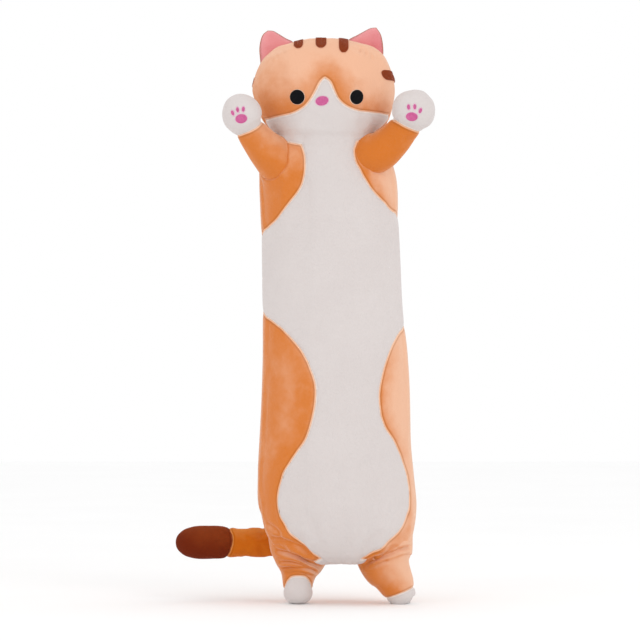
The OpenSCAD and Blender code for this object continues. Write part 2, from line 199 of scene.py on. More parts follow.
class Skin:
    """Triangles with named rows of numbers at each vertex. co is the place, and rest the place before
    the filling pushes, both in millimetres."""

    def __init__(self, faces, **rows):
        self.faces = faces
        self.rows = rows

    @property
    def co(self):
        return self.rows["co"]

    def normals(self):
        p = self.co[self.faces]
        n = np.cross(p[:, 1] - p[:, 0], p[:, 2] - p[:, 0])
        out = np.zeros_like(self.co)
        for k in range(3):
            np.add.at(out, self.faces[:, k], n)
        return out / np.maximum(np.linalg.norm(out, axis=1, keepdims=True), 1e-12)

    def cut(self, field, snap=0.12):
        """Splits every triangle where field changes sign, so that edges run along field = 0."""
        f = field.copy()
        f[np.abs(f) < snap] = 0
        tri = self.faces
        n = len(f)
        ends = np.sort(np.stack([tri, np.roll(tri, -1, axis=1)], axis=2), axis=2)
        key = ends[:, :, 0].astype(np.int64) * n + ends[:, :, 1]
        crossed = f[ends[:, :, 0]] * f[ends[:, :, 1]] < 0
        uniq, inverse = np.unique(key[crossed], return_inverse=True)
        a, b = uniq // n, uniq % n
        t = f[a] / (f[a] - f[b])
        for name, row in self.rows.items():
            w = t.reshape((-1,) + (1,) * (row.ndim - 1))
            self.rows[name] = np.concatenate([row, row[a] * (1 - w) + row[b] * w])
        mid = np.full(tri.shape, -1)
        mid[crossed] = n + inverse
        count = crossed.sum(axis=1)
        parts = [tri[count == 0]]
        for k in range(3):
            order = [k, (k + 1) % 3, (k + 2) % 3]
            one = (count == 1) & crossed[:, k]
            p, m = tri[one][:, order], mid[one][:, k]
            parts.append(np.stack([p[:, 0], m, p[:, 2]], 1))
            parts.append(np.stack([m, p[:, 1], p[:, 2]], 1))
            two = (count == 2) & ~crossed[:, k]
            p, m = tri[two][:, order], mid[two][:, order]
            parts.append(np.stack([p[:, 0], p[:, 1], m[:, 1]], 1))
            parts.append(np.stack([p[:, 0], m[:, 1], m[:, 2]], 1))
            parts.append(np.stack([m[:, 2], m[:, 1], p[:, 2]], 1))
        self.faces = np.concatenate(parts)
        return np.concatenate([f, np.zeros(len(uniq))])

    def part(self, chosen):
        """The chosen triangles as a skin of their own, with the edge of the cloth turned in."""
        faces = self.faces[chosen]
        used, inverse = np.unique(faces, return_inverse=True)
        faces = inverse.reshape(-1, 3)
        rows = {name: row[used] for name, row in self.rows.items()}
        faces = turned_in(faces, rows, self.normals()[used])
        return Skin(faces, **rows)


def turned_in(faces, rows, normals):
    """Adds a strip along every open edge that runs into the filling, as a seam allowance does.
    It changes rows in place and returns the new triangles."""
    n = len(normals)
    step = np.stack([faces, np.roll(faces, -1, axis=1)], axis=2).reshape(-1, 2)
    key = step[:, 0].astype(np.int64) * n + step[:, 1]
    back = step[:, 1].astype(np.int64) * n + step[:, 0]
    rim = step[~np.isin(key, back)]
    if not len(rim):
        return faces
    verts = np.unique(rim)
    where = np.full(n, -1)
    where[verts] = n + np.arange(len(verts))
    for name, row in rows.items():
        extra = row[verts].copy()
        if name in ("co", "rest"):
            extra -= normals[verts] * TURNED_IN
        rows[name] = np.concatenate([row, extra])
    a, b = rim[:, 0], rim[:, 1]
    strip = np.concatenate([np.stack([b, a, where[a]], 1), np.stack([b, where[a], where[b]], 1)])
    return np.concatenate([faces, strip])


def grid_tube(rings):
    """Quads through rings of equal length, closed with a fan at both ends. The first and last ring
    are single points, repeated."""
    n = rings.shape[1]
    verts = np.concatenate([rings[:1, 0], rings[1:-1].reshape(-1, 3), rings[-1:, 0]])
    i = np.arange(n)
    j = (i + 1) % n
    quads = []
    for k in range(len(rings) - 3):
        low, high = 1 + k * n, 1 + (k + 1) * n
        quads += np.stack([low + i, low + j, high + j, high + i], 1).tolist()
    last = 1 + (len(rings) - 3) * n
    fans = np.stack([np.zeros(n, int), 1 + j, 1 + i], 1).tolist()
    fans += np.stack([np.full(n, len(verts) - 1), last + i, last + j], 1).tolist()
    return verts, quads + fans


def grid_quads(rows, columns):
    """Quads between the points of a grid that is numbered row by row."""
    i, j = np.meshgrid(np.arange(rows - 1), np.arange(columns - 1), indexing="ij")
    a = (i * columns + j).ravel()
    return np.stack([a, a + 1, a + 1 + columns, a + columns], 1)


def bpy_mesh(name, verts, faces):
    """A new object in the scene from points and faces."""
    mesh = bpy.data.meshes.new(name)
    mesh.from_pydata(np.asarray(verts).tolist(), [], [list(f) for f in faces])
    mesh.update()
    obj = bpy.data.objects.new(name, mesh)
    bpy.context.scene.collection.objects.link(obj)
    return obj


def read(items, field, width, kind=np.float32):
    """A field of each of a mesh's items, as rows."""
    out = np.zeros(len(items) * width, kind)
    items.foreach_get(field, out)
    return out.reshape(-1, width)


def set_rows(mesh, rows):
    """Stores rows of numbers as attributes of the mesh's vertices."""
    for name, row in rows.items():
        kind = "FLOAT_VECTOR" if row.ndim == 2 else "FLOAT"
        attribute = mesh.attributes.new(name, kind, "POINT")
        attribute.data.foreach_set("vector" if row.ndim == 2 else "value", row.astype(np.float32).ravel())


def subdivided(obj):
    """Replaces obj's mesh by one that is subdivided once, and gives obj back."""
    obj.modifiers.new("subdivide", "SUBSURF").levels = 1
    graph = bpy.context.evaluated_depsgraph_get()
    mesh = bpy.data.meshes.new_from_object(
        obj.evaluated_get(graph), preserve_all_data_layers=True, depsgraph=graph
    )
    obj.modifiers.clear()
    obj.data = mesh
    return obj


def skin_from(obj):
    """The triangles of obj with its rest places, as a Skin. The object goes."""
    mesh = obj.data
    mesh.calc_loop_triangles()
    faces = read(mesh.loop_triangles, "vertices", 3, np.int32).astype(int)
    co = read(mesh.vertices, "co", 3).astype(float)
    rest = read(mesh.attributes["rest"].data, "vector", 3).astype(float)
    bpy.data.objects.remove(obj)
    return Skin(faces, co=co, rest=rest)


def blurred(values, edges, rounds):
    """Values at the vertices, averaged with their neighbours a number of times."""
    count = np.bincount(edges.ravel(), minlength=len(values))
    for _ in range(rounds):
        total = np.bincount(edges[:, 0], values[edges[:, 1]], len(values))
        total += np.bincount(edges[:, 1], values[edges[:, 0]], len(values))
        values = 0.5 * values + 0.5 * total / count
    return values


def filled(verts, faces, around, cap):
    """The form's places after a cloth simulation with pressure inside. Only its wrinkles are kept,
    along the normal and up to cap, so that the form stays the drawn one."""
    verts = np.asarray(verts, float)
    obj = bpy_mesh("simulated", verts * MM, faces)
    cloth = obj.modifiers.new("cloth", "CLOTH")
    for key, value in CLOTH.items():
        setattr(cloth.settings, key, value)
    cloth.settings.effector_weights.gravity = 0
    cloth.collision_settings.use_collision = False
    cloth.point_cache.frame_end = CLOTH_FRAMES
    for f in range(1, CLOTH_FRAMES + 1):
        bpy.context.scene.frame_set(f)
    graph = bpy.context.evaluated_depsgraph_get()
    mesh = bpy.data.meshes.new_from_object(obj.evaluated_get(graph))
    moved = read(mesh.vertices, "co", 3).astype(float) / MM - verts
    normal = read(obj.data.vertices, "normal", 3)
    edges = read(mesh.edges, "vertices", 2, np.int32)
    height = (moved * normal).sum(axis=1)
    height = blurred(height, edges, FINE) - blurred(height, edges, BROAD)
    rings = (len(verts) - 2) // around
    ring = np.r_[0, np.repeat(np.arange(rings), around), rings]
    height *= smoothstep(np.minimum(ring, rings - 1 - ring), *END_RINGS)
    height *= 1 - HEAD_CALM * smoothstep(verts[:, 2], *HEAD_CALM_HEIGHTS)
    bpy.context.scene.frame_set(1)
    bpy.data.objects.remove(obj)
    return verts + normal * np.clip(height, -cap, cap)[:, None]


def stuffed(name, verts, faces, around=0, cap=0.0):
    """A closed cloth form, filled if it has a cap, then smoothed once by subdivision."""
    obj = bpy_mesh(name, filled(verts, faces, around, cap) if cap else verts, faces)
    set_rows(obj.data, {"rest": np.asarray(verts, float)})
    return skin_from(subdivided(obj))


def level_rings(z, hw, hd, cx, cy, around):
    """Level rings at heights z, from half widths, half depths and middles."""
    a = np.arange(around) * 2 * math.pi / around
    return np.stack([
        cx[:, None] + hw[:, None] * signed_pow(np.sin(a), 2 / POWER),
        cy[:, None] - hd[:, None] * signed_pow(np.cos(a), 2 / POWER),
        z[:, None] + 0 * a,
    ], axis=2)


def body_skin():
    """The body and head as one closed skin."""
    rings = level_rings(*evenly(profile, BODY_STEP, [0, 1]).T, BODY_AROUND)
    return stuffed("body", *grid_tube(rings), BODY_AROUND, BODY_CAP)


def shrunk(skin, by):
    """A closed skin moved inwards, as the filling inside it."""
    drawn = Skin(skin.faces, co=skin.rows["rest"])
    inner = drawn.co - drawn.normals() * by
    inner[:, 2] = np.maximum(inner[:, 2], FILLING_LOW)
    return Skin(skin.faces, co=inner, rest=skin.rows["rest"], seam=skin.rows["seam"] + OFF_SEAM)


def lump(low, high, inset, around=64):
    """The filling inside the body between two heights, with rounded ends."""
    t = np.linspace(0, math.pi, 60)
    z = (low + high) / 2 - (high - low) / 2 * np.cos(t)
    z = np.clip(z, BODY[0][0] + inset, BODY[-1][0] - inset)
    end = np.clip(np.minimum(z - low, high - z) / FILLING_ROUND, 0, 1)
    end = np.sqrt(1 - (1 - end) ** 2)
    hw, hd, cx, cy = section(z)
    rings = level_rings(
        z, np.maximum(hw - inset, 0) * end, np.maximum(hd - inset, 0) * end, cx, cy, around
    )
    skin = stuffed("lump", *grid_tube(rings))
    skin.rows["seam"] = np.full(len(skin.co), FAR_FROM_SEAM)
    return skin


def limb_skin(name, keys, around=64, step=3.4):
    """A closed tube along keys of x, y, z and radius, with an oval section where a fifth number
    gives the radius in depth."""
    keys = np.array([list(k) + [k[3]] if len(k) == 4 else list(k) for k in keys], float)
    near = (keys[:, 1:2] - EYE[1]) / -EYE[1]
    keys[:, [0, 2]] = EYE[[0, 2]] + (keys[:, [0, 2]] - EYE[[0, 2]]) * near
    keys[:, 2] -= (keys[-1, 2] if keys[-1, 2] < 5 else 0)
    keys[:, 3:] *= near
    rows = evenly(catmull(keys, 10), step, [0, 1, 2, 3])
    centre = rows[:, :3]
    along = np.gradient(centre, axis=0)
    along /= np.linalg.norm(along, axis=1, keepdims=True)
    side = np.cross(along, [0.0, 1.0, 0.0])
    side /= np.linalg.norm(side, axis=1, keepdims=True)
    deep = np.cross(side, along)
    a = np.arange(around) * 2 * math.pi / around
    rings = (
        centre[:, None]
        + side[:, None] * (np.cos(a)[None, :, None] * np.maximum(rows[:, 3], 0)[:, None, None])
        + deep[:, None] * (np.sin(a)[None, :, None] * np.maximum(rows[:, 4], 0)[:, None, None])
    )
    rings[0] = centre[0]
    rings[-1] = centre[-1]
    verts, faces = grid_tube(rings)
    return stuffed(name, verts, [f[::-1] for f in faces], around, LIMB_CAP)


# ---------- distances ----------


def outline_distance(points, line, closed=True):
    """Signed distance of points from an outline, under 0 inside it, and how far along it each lies."""
    a = line if closed else line[:-1]
    b = np.roll(line, -1, axis=0) if closed else line[1:]
    d = b - a
    length = np.maximum(np.linalg.norm(d, axis=1), 1e-9)
    start = np.r_[0, np.cumsum(length)[:-1]]
    best = np.full(len(points), 1e9)
    along = np.zeros(len(points))
    inside = np.zeros(len(points), bool)
    for k in range(len(a)):
        r = points - a[k]
        t = np.clip(r @ d[k] / length[k] ** 2, 0, 1)
        dist = np.linalg.norm(r - t[:, None] * d[k], axis=1)
        nearer = dist < best
        best[nearer] = dist[nearer]
        along[nearer] = (start[k] + t * length[k])[nearer]
        if closed:
            spans = (a[k, 1] > points[:, 1]) != (b[k, 1] > points[:, 1])
            with np.errstate(divide="ignore", invalid="ignore"):
                x = a[k, 0] + (points[:, 1] - a[k, 1]) * d[k, 0] / d[k, 1]
            inside ^= spans & (points[:, 0] < x)
    return np.where(inside, -best, best), along


def tree_of(skin):
    return BVHTree.FromPolygons([Vector(p) for p in skin.co], skin.faces.tolist())


def outside_by(points, tree):
    """How far points lie outside a closed skin, under 0 inside it."""
    out = np.zeros(len(points))
    for k, p in enumerate(points):
        place, normal, _, dist = tree.find_nearest(Vector(p))
        out[k] = dist if (Vector(p) - place).dot(normal) > 0 else -dist
    return out


# ---------- the front panel's outline ----------

# Seen from the front, from the top of the blaze down the edge on the cat's right
BLAZE_RIGHT = [
    [-19, 823], [-26, 816], [-34, 800], [-41, 788], [-52, 776], [-68, 767], [-90, 761], [-114, 755],
]
CHEEK_RIGHT = [[-114, 755], [-108, 742], [-94, 730], [-75, 721.5], [-56, 718]]
EDGE_RIGHT = [
    [-56, 718], [-52, 706], [-50, 690], [-51, 672], [-58, 650], [-75, 627], [-98, 600], [-118, 577],
    [-127, 520], [-118, 457], [-86, 427], [-58, 396], [-41, 365], [-33, 335], [-37, 295], [-50, 257],
    [-78, 216], [-94, 177], [-93, 145], [-78, 114], [-58, 95], [-36, 76], [-24, 66],
]
# The same on the cat's left
BLAZE_LEFT = [[-19, 823], [-11, 816], [-4, 800], [3, 788], [16, 777], [36, 770], [58, 767], [84, 763]]
CHEEK_LEFT = [[84, 763], [77, 750], [65, 738.5], [48, 729.5], [30, 723]]
EDGE_LEFT = [
    [30, 722], [27, 708], [30, 692], [38, 677], [52, 652], [78, 626], [98, 602], [112, 570],
    [119, 520], [112, 448], [90, 404], [77, 370], [69, 335], [69, 305], [77, 277], [96, 247],
    [110, 210], [115, 165], [112, 135], [99, 111], [76, 90], [52, 75], [38, 66],
]


def panel_outline():
    """The outline as (girth, height), closed under the body."""
    edges = []
    for side in ([BLAZE_RIGHT, CHEEK_RIGHT, EDGE_RIGHT], [BLAZE_LEFT, CHEEK_LEFT, EDGE_LEFT]):
        line = np.vstack([catmull(part, 5)[:-1] for part in side] + [[side[-1][-1]]])
        edges.append(np.array([on_skin(x, z) for x, z in line]))
    right, left = edges
    quarter = GIRTH_R * math.pi / 2
    top, bottom = BODY[0][0] + 1, BODY[0][0] - 5
    under = [[-quarter, top], [-quarter, bottom], [quarter, bottom], [quarter, top]]
    return np.vstack([right, under, left[:0:-1]])


# ---------- building the skins ----------

NECK_SEAM = 721.0  # height of the seam between the body and the head
HEAD_SEAM_Y = 2.0  # where the head's front and back cloth meet, ear to ear
BACK_SEAM = 2.5  # how far the seam down the back lies from the middle
UNCUT = 50.0  # field value that keeps a region uncut
SWELL_REACH = 9.0  # mm from a limb in which the body's swell falls to about a third
PUCKER_R = 60  # radius that turns an angle round a limb into millimetres of pucker

# Creases by the legs and ears, drawn as seen from the front: points, then half width and depth
CREASES = [
    ([[-104, 106], [-78, 100.6], [-57, 91], [-40, 78]], 3.0, 3.0),
    ([[-97, 85], [-62, 77], [-38, 64], [-23, 56]], 2.8, 3.6),
    ([[-92, 66], [-70, 66], [-48, 60], [-30, 52]], 2.2, 2.6),
    ([[-90, 56], [-67, 58], [-43, 55], [-30, 48]], 2.0, 2.4),
    ([[-60, 77], [-50, 70], [-38, 60]], 1.8, 2.0), ([[-84, 49], [-62, 52], [-38, 45]], 1.6, 1.5),
    ([[36, 57], [62, 72.5], [89, 83], [116, 90.5]], 2.8, 3.6), ([[39, 54], [59, 62], [80, 71]], 2.2, 2.2),
    ([[43, 63], [70, 82], [97, 93]], 2.4, 1.8), ([[-113, 128], [-98, 119], [-84, 106]], 3.0, 1.6),
    ([[34, 855], [39, 867]], 1.6, 1.3), ([[44, 850], [45, 864]], 1.6, 1.4),
    ([[55, 845], [52, 860]], 1.6, 1.3), ([[-95, 855], [-90, 845]], 1.8, 1.0),
    ([[-84, 863], [-79, 852]], 1.8, 0.9),
]


def creased(p, normals):
    """How far the creases press in each point of a skin that faces forwards."""
    dip = np.zeros(len(p))
    front = smoothstep(-normals[:, 1], 0.0, 0.35)
    for line, width, depth in CREASES:
        d, along = outline_distance(p[:, [0, 2]], catmull(line, 6), closed=False)
        length = along.max()
        ends = smoothstep(along, -1, 7) * smoothstep(length - along, -1, 7) if length > 0 else 1
        dip -= 1.35 * depth * np.exp(-((d / width) ** 2)) * front * ends
        dip += 0.45 * depth * np.exp(-(((d - 2.3 * width) / width) ** 2)) * front * ends
    return dip


def groove(d):
    """How far cloth dips at a distance from its seam."""
    return -1.0 * np.exp(-((d / 2.0) ** 2)) - 2.0 * np.exp(-d / 8.0)


def body_fields(rest):
    """Distances of the body's points from its three hidden seams, under 0 on one side of each."""
    neck = rest[:, 2] - NECK_SEAM
    ear_line = rest[:, 1] - HEAD_SEAM_Y
    back = rest[:, 0] - section(rest[:, 2])[2] - BACK_SEAM
    return neck, ear_line, back


def body_pieces(limbs):
    """Cuts the body at its seams and dips, puckers and creases it. Gives it whole and as its cloths."""
    skin = body_skin()
    rest = skin.rows["rest"]
    girth = angle_at(*rest.T) * GIRTH_R
    panel, along = outline_distance(np.stack([girth, rest[:, 2]], 1), panel_outline())
    skin.rows.update(panel=panel, along=along)
    skin.rows["panel"] = skin.cut(skin.rows["panel"])

    orange = skin.rows["panel"] > 0
    skin.cut(np.where(orange, body_fields(skin.rows["rest"])[0], UNCUT))
    neck, ear_line, _ = body_fields(skin.rows["rest"])
    head = (neck > -1e-6) & (skin.rows["panel"] > 1e-9)
    skin.cut(np.where(head, ear_line, UNCUT))
    neck, _, back = body_fields(skin.rows["rest"])
    trunk = (neck < 1e-6) & (skin.rows["panel"] > 1e-9)
    skin.cut(np.where(trunk, back, UNCUT))

    rest = skin.rows["rest"]
    panel = skin.rows["panel"]
    neck, ear_line, back = body_fields(rest)
    orange = panel > -1e-6
    to_ear_line = np.hypot(ear_line, np.minimum(neck, 0))
    to_back = np.hypot(back, np.maximum(neck, 0))
    seam = np.abs(panel)
    seam = np.where(orange, np.minimum(seam, np.abs(neck)), seam)
    seam = np.where(orange & (neck > -4), np.minimum(seam, to_ear_line), seam)
    seam = np.where(orange & (neck < 4) & (rest[:, 1] > -60), np.minimum(seam, to_back), seam)
    skin.rows["seam"] = seam

    normals = skin.normals()
    pucker = waves(skin.rows["along"], 11.0, 3) * np.exp(-np.abs(panel) / 9.0)
    dip = groove(seam) - 1.3 * pucker
    dip += 0.5 * (waves(rest[:, 2] + 0.6 * rest[:, 0], 46.0, 5) - 0.5) * smoothstep(seam, 4, 20)
    for limb, swell in limbs:
        gap = np.full(len(rest), 99.0)
        low, high = limb.co.min(0) - 20, limb.co.max(0) + 20
        near = np.flatnonzero(((skin.co > low) & (skin.co < high)).all(axis=1))
        gap[near] = np.abs(outside_by(skin.co[near], tree_of(limb)))
        dip += swell * np.exp(-gap / SWELL_REACH)
    dip += creased(rest, normals)
    skin.rows["co"] = skin.co + normals * dip[:, None]

    p, z, y, x = (row[skin.faces].mean(axis=1) for row in (panel, neck, ear_line, back))
    head, trunk = (p > 0) & (z > 0), (p > 0) & (z < 0)
    chosen = {
        "front_panel": p < 0,
        "forehead": head & (y < 0),
        "head_back": head & (y > 0),
        "side_left": trunk & (x > 0),
        "side_right": trunk & (x < 0),
    }
    return skin, {name: skin.part(which) for name, which in chosen.items()}


# Axis of each limb as the camera sees it on the middle plane, with its real y, then its radius, and
# its radius in depth where that differs
ARM_LEFT = [
    [21, -24, 703, 0], [23, -28, 703, 13], [30, -36, 702, 22], [41, -46, 701.5, 28.5], [55, -54, 703, 31.5],
    [70, -62, 708.5, 30.5], [88, -72, 724, 26.5], [102, -82, 740.5, 24.2], [108, -86, 747.5, 24.5],
    [112, -89, 756, 29], [116.5, -93, 764.5, 33.5], [120.5, -96, 772, 34.2], [125, -99, 780, 32],
    [129.5, -102, 788.5, 26], [132.5, -104, 795, 18], [134.5, -105, 799, 8.5], [135, -105.5, 800, 0],
]
ARM_RIGHT = [
    [-44, -22, 673, 0], [-47, -24, 674, 16], [-54, -27, 677, 26], [-66, -28, 681, 34], [-80, -34, 687, 37],
    [-95.5, -46, 696.5, 35], [-110.5, -60, 709.5, 29.5], [-125.5, -73, 727, 25], [-137, -83, 743, 23.8],
    [-141, -86, 749, 26.5], [-145, -89.5, 757, 30.5], [-148.5, -93, 764.5, 31.5], [-152.5, -97, 772, 30],
    [-157, -101, 780, 25.5], [-161, -104, 787, 18], [-163.5, -106, 791.5, 8.5], [-164, -106, 792.5, 0],
]
LEG_RIGHT = [
    [-44, -2, 142, 0], [-45, -2, 140, 18], [-50, -3, 130, 38], [-55, -5, 112, 51, 46], [-57.5, -6, 92, 48.5],
    [-57.5, -8, 73, 43, 42], [-58.5, -10, 57, 35.5, 37], [-60, -12, 45, 27.5, 32], [-61, -13, 33, 25, 29.5],
    [-61, -13, 20, 24.5, 29], [-61, -13, 10, 21.5, 26], [-61, -13, 4, 17, 21], [-61, -13, 1, 12, 15],
    [-61, -13, 0, 7, 9], [-61, -13, 0, 0],
]
LEG_LEFT = [
    [58, -2, 142, 0], [59, -2, 140, 18], [64, -3, 130, 36], [71, -5, 112, 45.5, 46], [74, -6, 92, 44.5, 46],
    [74, -8, 72, 43, 42], [78.5, -10, 56, 38.5, 37], [87, -11, 41, 32, 31], [94.5, -12, 27, 28.5, 27],
    [101, -13, 14, 24.5, 25], [104.5, -13, 5, 19, 20], [107, -13, 1, 13, 14], [107.5, -13, 0, 8, 9],
    [107.5, -13, 0, 0],
]
TAIL = [
    [-34, 50, 95, 0], [-35, 51, 95, 9], [-40, 53, 95, 17], [-54, 58, 95, 21.5], [-80, 62, 95, 22.3],
    [-120, 63, 95, 22.3], [-152, 63, 95, 22.5], [-165, 63, 95, 23.5], [-176, 63, 95, 25],
    [-200, 63, 95, 25.8], [-222, 63, 95, 25], [-238, 63, 95, 20.5], [-247, 63, 95, 14],
    [-251.5, 63, 95, 7], [-252.5, 63, 95, 0],
]


def limb_pieces(skin, field_of, body_tree, names, seed):
    """Cuts a limb at its seam, dips both seams, and gives its two pieces: the sleeve and the end."""
    field = skin.cut(field_of(skin.rows["rest"]))
    skin.rows["seam"] = np.abs(field)
    rest = skin.rows["rest"]
    root = outside_by(skin.co, body_tree)
    off_x, off_y = rest[:, 0] - rest[:, 0].mean(), rest[:, 1] - rest[:, 1].mean()
    around = np.arctan2(off_y, off_x) * PUCKER_R
    dip = groove(skin.rows["seam"]) - 0.9 * waves(around, 9.0, seed) * np.exp(-skin.rows["seam"] / 7)
    dip += (1.2 - 0.8 * waves(around, 8.0, seed + 1)) * np.exp(-np.abs(root) / 7.0)
    normals = skin.normals()
    dip += creased(rest, normals)
    skin.rows["co"] = skin.co + normals * dip[:, None]
    skin.rows["co"][:, 2] = np.maximum(skin.rows["co"][:, 2], 0)
    f = field[skin.faces].sum(axis=1)
    return {names[0]: skin.part(f < 0), names[1]: skin.part(f > 0)}


def piece(name, skin):
    """A Blender object from a skin, with the rows that its material reads."""
    obj = bpy_mesh(name, to_frame(skin.co), skin.faces)
    set_rows(obj.data, {"rest": to_frame(skin.rows["rest"]), "seam": skin.rows["seam"]})
    return obj


# ---------- materials ----------


def linear(r, g, b):
    """A colour given from 0 to 255 in sRGB, for a shader."""
    out = []
    for c in (r, g, b):
        c /= 255
        out.append(c / 12.92 if c <= 0.04045 else ((c + 0.055) / 1.055) ** 2.4)
    return (*out, 1.0)


class Nodes:
    """A short way to build a node material."""

    def __init__(self, name):
        self.material = bpy.data.materials.new(name)
        self.material.use_nodes = True
        self.tree = self.material.node_tree
        self.shader = self.tree.nodes["Principled BSDF"]

    def add(self, kind, inputs=None, **settings):
        node = self.tree.nodes.new(kind)
        for key, value in settings.items():
            setattr(node, key, value)
        for key, value in (inputs or {}).items():
            if isinstance(value, bpy.types.NodeSocket):
                self.tree.links.new(value, node.inputs[key])
            else:
                node.inputs[key].default_value = value
        return node

    def noise(self, place, scale, detail=2.0, roughness=0.5):
        inputs = {"Vector": place, "Scale": scale, "Detail": detail, "Roughness": roughness}
        return self.add("ShaderNodeTexNoise", inputs).outputs["Fac"]

    def ramp(self, value, low, high, to_low=0.0, to_high=1.0):
        span = {"From Min": low, "From Max": high, "To Min": to_low, "To Max": to_high}
        node = self.add("ShaderNodeMapRange", {"Value": value, **span}, interpolation_type="SMOOTHSTEP")
        return node.outputs["Result"]

    def math(self, operation, a, b=0.0):
        return self.add("ShaderNodeMath", {0: a, 1: b}, operation=operation).outputs[0]

    def mix(self, factor, a, b, blend="MIX"):
        node = self.add("ShaderNodeMix", {0: factor, 6: a, 7: b}, data_type="RGBA", blend_type=blend)
        return node.outputs[2]

    def attribute(self, name, output):
        return self.add("ShaderNodeAttribute", attribute_name=name).outputs[output]

    def bump(self, height, distance, strength=1.0, normal=None):
        inputs = {"Height": height, "Distance": distance, "Strength": strength}
        if normal is not None:
            inputs["Normal"] = normal
        return self.add("ShaderNodeBump", inputs).outputs["Normal"]

    def finish(self, colour, normal, **sockets):
        self.tree.links.new(colour, self.shader.inputs["Base Color"])
        self.tree.links.new(normal, self.shader.inputs["Normal"])
        for key, value in sockets.items():
            self.shader.inputs[key.replace("_", " ")].default_value = value
        return self.material


def plush(name, deep, light, edge, tint, sheen=0.6, painted_light_from=(0.0, 0.0, 0.0), base=0.3, painted_light_by_seam=0.0, shaded=0.35):
    """Short pile: soft blotches where it lies differently, fine fibres, and a pale line at the seams.
    Painted light: faces that point along the given light direction are painted lighter, and so is the pile
    far from the seams. Painted shade darkens a band just beside each seam."""
    deep, light, edge, tint = (linear(*c) for c in (deep, light, edge, tint))
    n = Nodes(name)
    place = n.attribute("rest", "Vector")
    seam = n.attribute("seam", "Fac")
    brushed = n.noise(place, 13.0)
    blotch = n.noise(place, 70.0, 3.0)
    fibre = n.noise(place, 1500.0, 2.0, 0.6)
    # Painted light: the pile is painted lighter on faces that point along the given light direction
    surface = n.add("ShaderNodeNewGeometry").outputs["Normal"]
    facing = n.add("ShaderNodeVectorMath", {0: surface, 1: painted_light_from}, operation="DOT_PRODUCT")
    tone_and_painted_light = n.math("ADD", facing.outputs["Value"], n.ramp(brushed, 0.3, 0.7, base - 0.12, base + 0.12))
    tone_and_painted_light = n.math("ADD", tone_and_painted_light, n.ramp(blotch, 0.3, 0.75, -0.06, 0.07))
    # Painted light: the pile is painted lighter far from the seams and deeper near them
    tone_and_painted_light = n.math("ADD", tone_and_painted_light, n.ramp(seam, 4.0, 45.0, -painted_light_by_seam, painted_light_by_seam))
    colour = n.mix(n.ramp(tone_and_painted_light, 0.0, 1.0), deep, light)
    colour = n.mix(n.ramp(fibre, 0.35, 0.7, 0.0, 0.14), colour, edge)
    shade = n.math("MULTIPLY", n.ramp(seam, 1.6, 2.6), n.ramp(seam, 5.5, 2.8, 0.0, shaded))
    colour = n.mix(shade, colour, tuple(0.5 * c for c in deep[:3]) + (1.0,))
    colour = n.mix(n.ramp(seam, 2.3, 1.3, 0.0, 0.75), colour, edge)
    normal = n.bump(n.noise(place, 320.0), 0.0012, 0.5)
    normal = n.bump(fibre, 0.0006, 0.55, normal)
    return n.finish(
        colour, normal, Roughness=0.95, Sheen_Weight=sheen, Sheen_Roughness=0.38, Sheen_Tint=tint,
        Specular_IOR_Level=0.15,
    )


def thread(name, colour, light, rim):
    """Satin stitch: close rows of thread, with a pale rim."""
    colour, light, rim = (linear(*c) for c in (colour, light, rim))
    n = Nodes(name)
    place = n.attribute("rest", "Vector")
    rows = n.add(
        "ShaderNodeTexWave",
        {"Vector": place, "Scale": 620.0, "Distortion": 1.4, "Detail": 1.0, "Detail Scale": 1.5},
        wave_type="BANDS", bands_direction="DIAGONAL",
    ).outputs["Fac"]
    shade = n.noise(place, 260.0)
    tone = n.mix(n.ramp(shade, 0.3, 0.7, 0.0, 0.5), colour, light)
    tone = n.mix(n.ramp(rows, 0.2, 0.9, 0.0, 0.3), tone, light)
    tone = n.mix(n.ramp(n.attribute("seam", "Fac"), 1.4, 0.7, 0.0, 0.9), tone, rim)
    return n.finish(
        tone, n.bump(rows, 0.0004, 0.7), Roughness=0.75, Sheen_Weight=0.03, Sheen_Roughness=0.4,
        Specular_IOR_Level=0.1,
    )


# Colours in sRGB, set against the photo: deep pile, light pile, pale seam line, sheen
# Direction of the painted light: faces that point up and to the cat's left are painted lighter
PAINTED_LIGHT_FROM = (0.55, 0.0, 0.5)
ORANGE = plush(
    "orange_pile", (212, 116, 32), (234, 182, 150), (246, 206, 176), (255, 226, 206),
    1.0, painted_light_from=PAINTED_LIGHT_FROM, base=0.42, painted_light_by_seam=0.14,
)
# Painted shade: the arm on the cat's right in a deeper copy of the orange pile, painted lighter on faces that
# point up
PAINTED_SHADE_ARM = plush(
    "painted_shade_arm_pile", (212, 116, 32), (230, 176, 142), (246, 206, 176), (255, 220, 196),
    0.75, painted_light_from=(0.12, 0.0, 0.4), base=0.24,
)
# Painted light: the head in a lighter copy of the orange pile, lighter still far from its seams
PAINTED_LIGHT_HEAD = plush(
    "painted_light_head_pile", (212, 122, 54), (234, 180, 148), (246, 206, 176), (255, 224, 202),
    0.85, painted_light_from=(0.3, 0.0, 0.45), base=0.56, painted_light_by_seam=0.22,
)
# Painted shade: the arm on the cat's left in a deeper copy of the orange pile
PAINTED_SHADE_ORANGE = plush(
    "painted_shade_orange_pile", (210, 112, 22), (232, 162, 112), (246, 200, 166), (255, 212, 180),
    0.7, painted_light_from=PAINTED_LIGHT_FROM, base=0.12,
)
# Painted shade: the tail's sleeve in a deeper copy of the orange pile
PAINTED_SHADE_TAIL = plush(
    "painted_shade_tail_pile", (200, 102, 4), (222, 146, 72), (222, 150, 90), (255, 190, 130),
    0.3, painted_light_from=PAINTED_LIGHT_FROM, base=0.05,
)
WHITE = plush(
    "white_pile", (211, 203, 201), (218, 211, 209), (236, 224, 216), (255, 248, 246),
    0.3, shaded=0.06,
)
